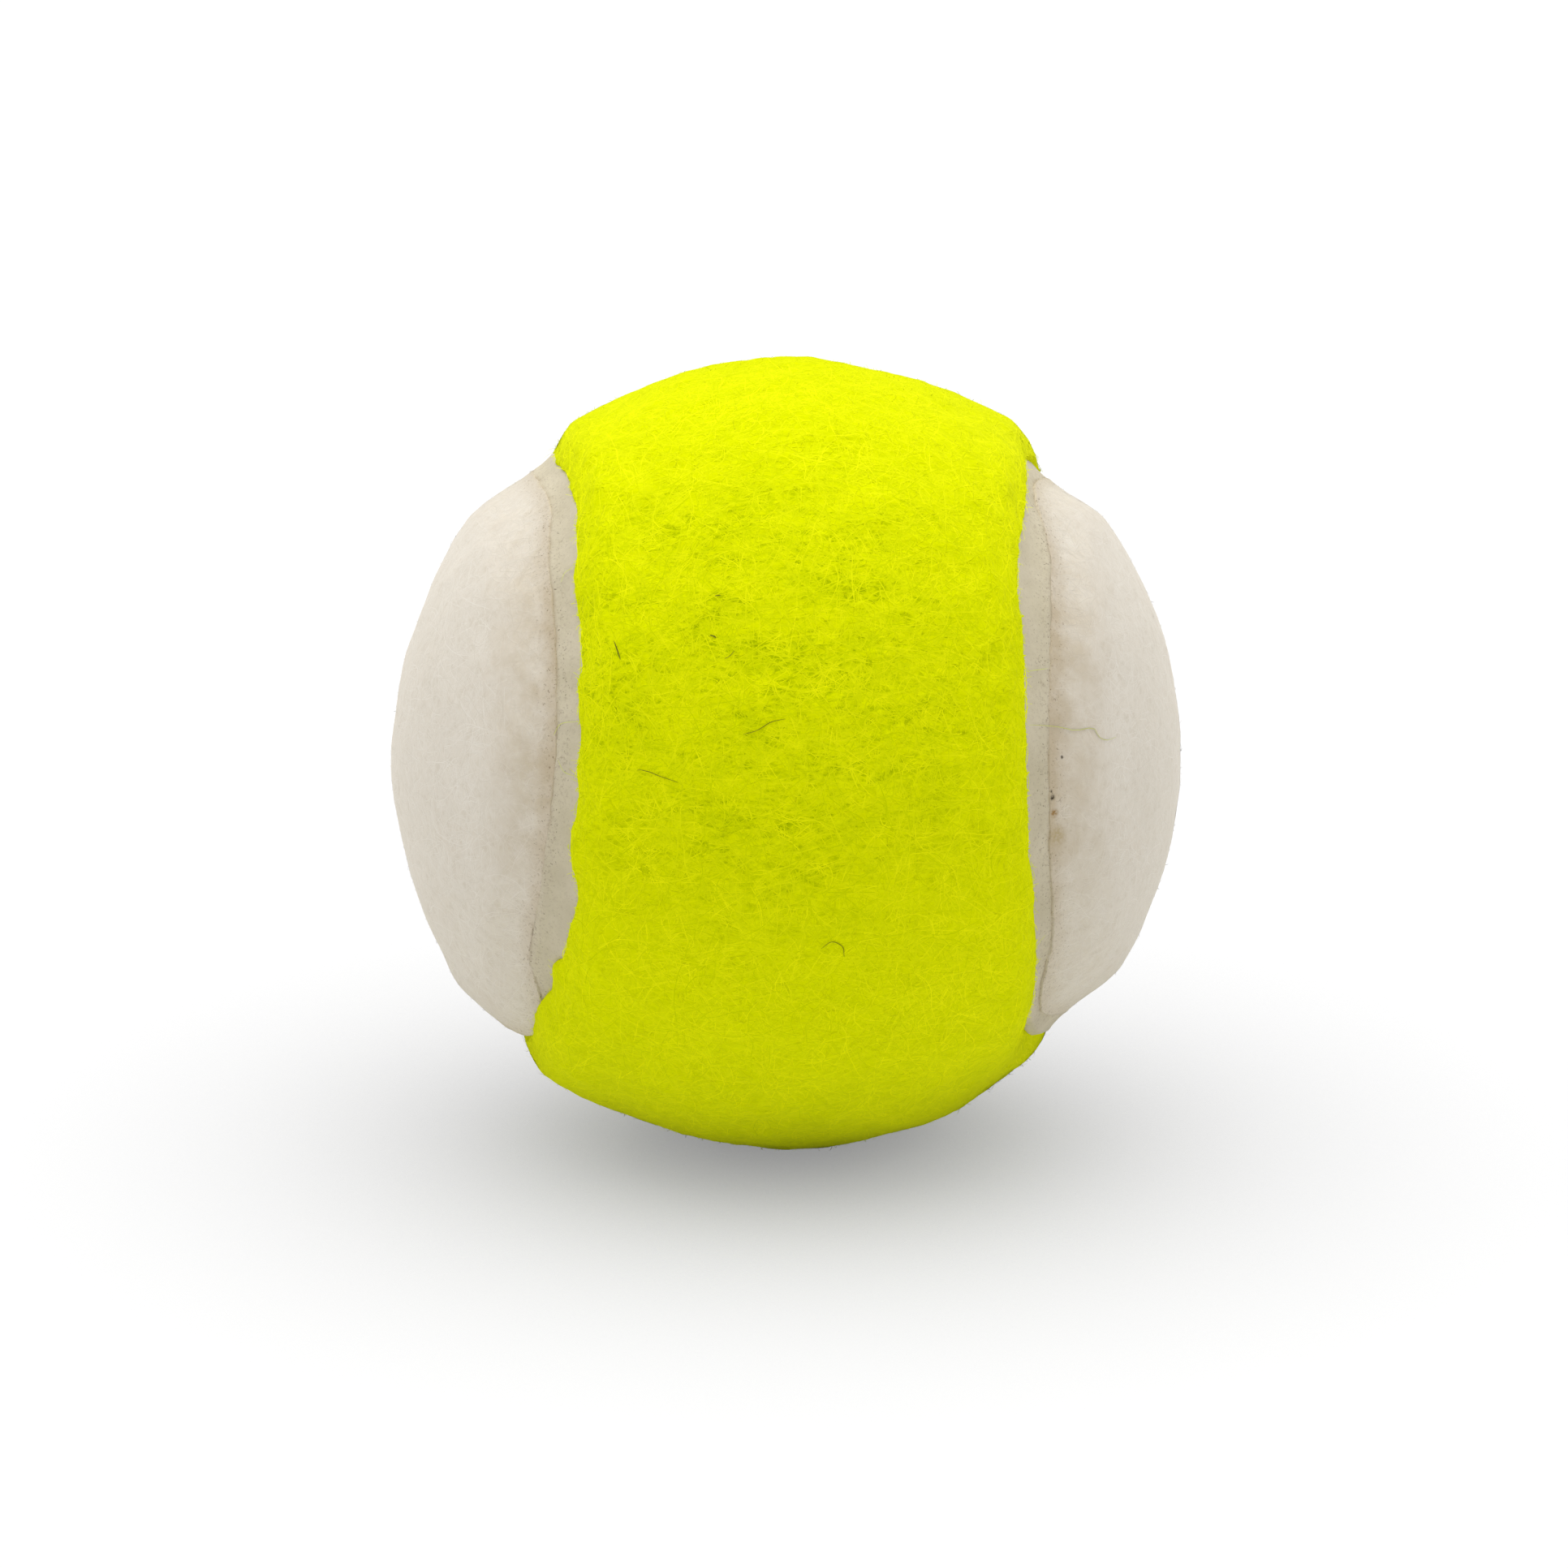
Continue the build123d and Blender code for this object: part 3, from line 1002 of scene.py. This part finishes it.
def white_felt_look():
    """Off-white felt: matted fibres with painted shade in their pits, faint tan stains, and dust gathered
    along the seam, with painted shade at the felt's edge.
    """
    look = Look("white_felt")
    pits = look.noise(1200, detail=3.0, roughness=0.6, seed=11.0)
    # Painted shade: the low places of the relief take the darker colour
    body = look.mix(look.ramp(pits, 0.30, 0.55), WHITE_PIT_SHADE, WHITE_TOP)
    stains = look.ramp(look.noise(170, detail=3.0, roughness=0.6, seed=12.0), 0.50, 0.78)
    body = look.tint(body, stains, 0.3, WHITE_STAIN)
    lines = look.math("MAXIMUM", look.strands(300, 0.018, 13.0), look.strands(560, 0.030, 14.0))
    body = look.tint(body, lines, 0.35, WHITE_LINE)
    body = look.dusted_and_edge_shaded(body)
    near = look.ramp(look.value("inside_mm"), 0.2, 3.0, 0.6, 0.0)
    grain = look.ramp(look.noise(3400, detail=3.0, roughness=0.7, seed=19.0), 0.48, 0.72)
    body = look.tint(body, grain, near, WHITE_GRAIN)
    specks = look.ramp(look.noise(4400, detail=1.0, seed=15.0), 0.63, 0.70)
    body = look.tint(body, specks, near, WHITE_SPECK)
    body = look.spots(body)
    height = look.math("ADD", look.math("MULTIPLY", lines, 0.5), pits)
    return look.finish_felt(
        body, look.ramp(pits, 0.2, 0.8, 0.95, 0.8), WHITE_SHEEN, look.bump(height, 0.00002)
    )


def white_nap_look():
    """Single fibres of the white felt."""
    look = Look("white_nap")
    along = look.ramp(look.noise(300, seed=16.0), 0.3, 0.7)
    body = look.mix(look.island(), WHITE_NAP_DARK, WHITE_NAP_LIGHT)
    body = look.tint(body, along, 0.35, WHITE_NAP_MIDDLE)
    # The fibres take the same dust and painted edge shade, and the spots of dirt
    body = look.spots(look.dusted_and_edge_shaded(body))
    return look.finish_felt(body, look.ramp(along, 0.0, 1.0, 0.75, 0.9), WHITE_SHEEN, look.radial())


def stray_look(name, dark, light, roughness):
    """A single stray hair or thread, uneven along its length."""
    look = Look(name)
    along = look.ramp(look.noise(500, seed=21.0), 0.35, 0.65)
    return look.finish(
        Base_Color=look.mix(along, dark, light),
        Roughness=look.ramp(along, 0.0, 1.0, roughness, roughness + 0.15),
        Specular_IOR_Level=0.2,
    )


def seam_look():
    """Greige seam rubber: matt, finely pitted, with dark specks and a brown line of painted shade in the
    crease along the white felt.
    """
    look = Look("seam_rubber")
    bare = look.value("bare_mm")
    cloud = look.noise(260, detail=4.0, roughness=0.6, seed=31.0)
    body = look.mix(look.ramp(cloud, 0.3, 0.7), SEAM_DARK, SEAM_LIGHT)
    uneven = look.ramp(look.noise(330, detail=3.0, seed=32.0), 0.40, 0.68, 0.0, 0.4)
    # Painted shade: a broken brown line in the crease within 0.4 mm of the white felt's edge
    body = look.tint(body, look.ramp(bare, 0.0, 0.4, 1.0, 0.0), uneven, SEAM_CREASE_SHADE)
    near = look.ramp(bare, 0.2, 2.2, 0.75, 0.25)
    grain = look.ramp(look.noise(3400, detail=3.0, roughness=0.7, seed=35.0), 0.50, 0.72)
    body = look.tint(body, grain, near, SEAM_GRAIN)
    specks = look.ramp(look.noise(5200, detail=1.0, seed=33.0), 0.63, 0.74)
    body = look.tint(body, specks, near, SEAM_SPECK)
    body = look.spots(body)
    fine = look.noise(2200, detail=2.0, seed=34.0)
    return look.finish(
        Base_Color=body,
        Roughness=look.ramp(cloud, 0.25, 0.75, 0.62, 0.8),
        Specular_IOR_Level=0.3,
        Normal=look.bump(look.math("ADD", fine, cloud), 0.00006),
    )


def inner_look(name, dark, light, scale, roughness):
    """Rubber or cement inside the ball: mottled, with a fine grain."""
    look = Look(name)
    cloud = look.noise(scale, detail=4.0, seed=41.0)
    grain = look.noise(12 * scale, detail=2.0, seed=42.0)
    return look.finish(
        Base_Color=look.mix(look.ramp(cloud, 0.3, 0.7), dark, light),
        Roughness=look.ramp(grain, 0.2, 0.8, roughness, roughness + 0.15),
        Specular_IOR_Level=0.4,
        Normal=look.bump(grain, 0.00008),
    )


def dress_core():
    """Materials for the solids that stay as they are: the core and the cement under the felt."""
    rubber = inner_look("core_rubber", CORE_DARK, CORE_LIGHT, 220, 0.7)
    cement = inner_look("cement", CEMENT_DARK, CEMENT_LIGHT, 300, 0.45)
    for node, material in (
        ("core_half_upper", rubber),
        ("core_half_lower", rubber),
        ("core_joint_cement", cement),
        ("yellow_panel_cement", cement),
        ("white_panel_cement", cement),
    ):
        solid = frame["nodes"][node]
        if not solid.material_slots:
            solid.data.materials.append(material)
        for place in solid.material_slots:
            place.material = material


# The ball's pieces

dress_core()

seam = add_piece("seam_rubber_strip", seam_mesh(), seam_look())
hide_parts("seam_rubber")

yellow_nap = yellow_nap_look()
yellow_panel = add_piece("yellow_felt", felt_mesh(YELLOW), yellow_felt_look())
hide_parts("yellow_felt_panel")
yellow_pieces = nap_pieces(
    YELLOW, yellow_nap, count=17200, seed=101, length=0.0060, lift=0.000012, curl=0.25, thickness=0.000080,
    overhang=0.0002, grain=0.9,
)
yellow_pieces.append(fuzz_piece(
    YELLOW, yellow_nap, count=9000, seed=103, height=0.00012, length=0.0007, thickness=0.00004,
    edge_lean=0.5,
))

hair = stray_look("dark_hair", HAIR_DARK, HAIR_LIGHT, 0.6)
thread = stray_look("yellow_thread", THREAD_DARK, THREAD_LIGHT, 0.8)
stray_piece("dark_hairs", DARK_HAIRS, hair)
stray_piece("yellow_threads", YELLOW_THREADS, thread)

white_nap = white_nap_look()
white_panel = add_piece("white_felt", felt_mesh(WHITE), white_felt_look())
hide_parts("white_felt_panel")
white_pieces = nap_pieces(
    WHITE, white_nap, count=17200, seed=202, length=0.0056, lift=0.000005, curl=0.24, thickness=0.000070,
    overhang=0.0003, grain=0.0,
)
white_pieces.append(fuzz_piece(
    WHITE, white_nap, count=9000, seed=203, height=0.00007, length=0.0007, thickness=0.00004,
    edge_lean=0.2,
))

# Floor, light and camera

# The floor's reach, the painted shade of its glow where it is shut in and where it is open, how far round it
# that is judged, and the share of that painted shade in what is seen of it
FLOOR_SIZE = 60.0
FLOOR_SHADE = (0.31, 1.06)
SHADE_REACH = 0.12
PAINTED_SHADE_SHARE = 0.85

# Strength of the light from all round, and strength, spread and tilt of the one overhead
WORLD_LIGHT = 0.25
SUN_LIGHT = 3.3
SUN_SPREAD = math.radians(88)
SUN_TILT = (math.radians(-6), math.radians(2))


def add_floor():
    """A plain white floor: what is seen of it is mostly a glow, with painted shade from how shut in it is.

    It is one large triangle, so that no edge inside it shows as a faint line.
    """
    look = Look("floor")
    paper = look.ramp(look.noise(2.0), 0.2, 0.8)
    grey = look.mix(paper, FLOOR_DARK, FLOOR_LIGHT)
    matt = look.add("ShaderNodeBsdfDiffuse", {"Color": grey})
    open_share = look.add("ShaderNodeAmbientOcclusion", {"Distance": SHADE_REACH}, "AO", samples=8)
    darkest, lightest = FLOOR_SHADE
    shade = look.add("ShaderNodeMapRange", {"Value": open_share, "To Min": darkest, "To Max": lightest})
    # Painted shadow: a glow that dims with how shut in the floor is
    plain = look.add("ShaderNodeEmission", {"Strength": shade})
    share = look.math("MULTIPLY", look.seen_directly(), PAINTED_SHADE_SHARE)
    mixed = look.add("ShaderNodeMixShader", {0: share, 1: matt, 2: plain})
    look.tree.links.new(mixed, look.tree.nodes.new("ShaderNodeOutputMaterial").inputs["Surface"])
    corners = [
        (FLOOR_SIZE * math.sin(turn), FLOOR_SIZE * math.cos(turn), -BALL_RADIUS)
        for turn in (0, -math.tau / 3, math.tau / 3)
    ]
    mesh = mesh_from("floor", corners, range(3), [3])
    mesh.materials.append(look.material)
    floor = bpy.data.objects.new("floor", mesh)
    bpy.context.scene.collection.objects.link(floor)


def add_world():
    """Even white light from all round, and plain white behind the ball for what sees it directly."""
    look = Look("studio", "worlds")
    bpy.context.scene.world = look.material
    level = {"Value": look.seen_directly(), "To Min": WORLD_LIGHT, "To Max": 1.0}
    strength = look.add("ShaderNodeMapRange", level)
    light = look.add("ShaderNodeBackground", {"Color": (1, 1, 1, 1), "Strength": strength})
    look.tree.links.new(light, look.tree.nodes.new("ShaderNodeOutputWorld").inputs["Surface"])


def add_sun():
    """One broad soft light from above, a little behind the ball and to its left."""
    lamp = bpy.data.lights.new("overhead", "SUN")
    lamp.energy = SUN_LIGHT
    lamp.angle = SUN_SPREAD
    overhead = bpy.data.objects.new("overhead", lamp)
    overhead.rotation_euler = (SUN_TILT[0], -SUN_TILT[1], 0)
    bpy.context.scene.collection.objects.link(overhead)


def add_camera():
    """The camera at the photograph's viewing angle, with the ball as large and as placed as there."""
    lens = bpy.data.cameras.new("camera")
    lens.sensor_width = SENSOR_WIDTH
    lens.lens = SENSOR_WIDTH * PHOTO_BALL_RADIUS / PHOTO_SIDE / math.tan(BALL_ANGLE)
    lens.shift_x = (PHOTO_SIDE / 2 - PHOTO_MIDDLE[0]) / PHOTO_SIDE
    lens.shift_y = (PHOTO_MIDDLE[1] - PHOTO_SIDE / 2) / PHOTO_SIDE
    camera = bpy.data.objects.new("camera", lens)
    turn = camera_turn()
    camera.matrix_world = Matrix.Translation(turn.col[2] * CAMERA_DISTANCE) @ turn.to_4x4()
    bpy.context.scene.collection.objects.link(camera)
    bpy.context.scene.camera = camera


add_floor()
add_world()
add_sun()
add_camera()
bpy.context.scene.view_settings.view_transform = "Standard"
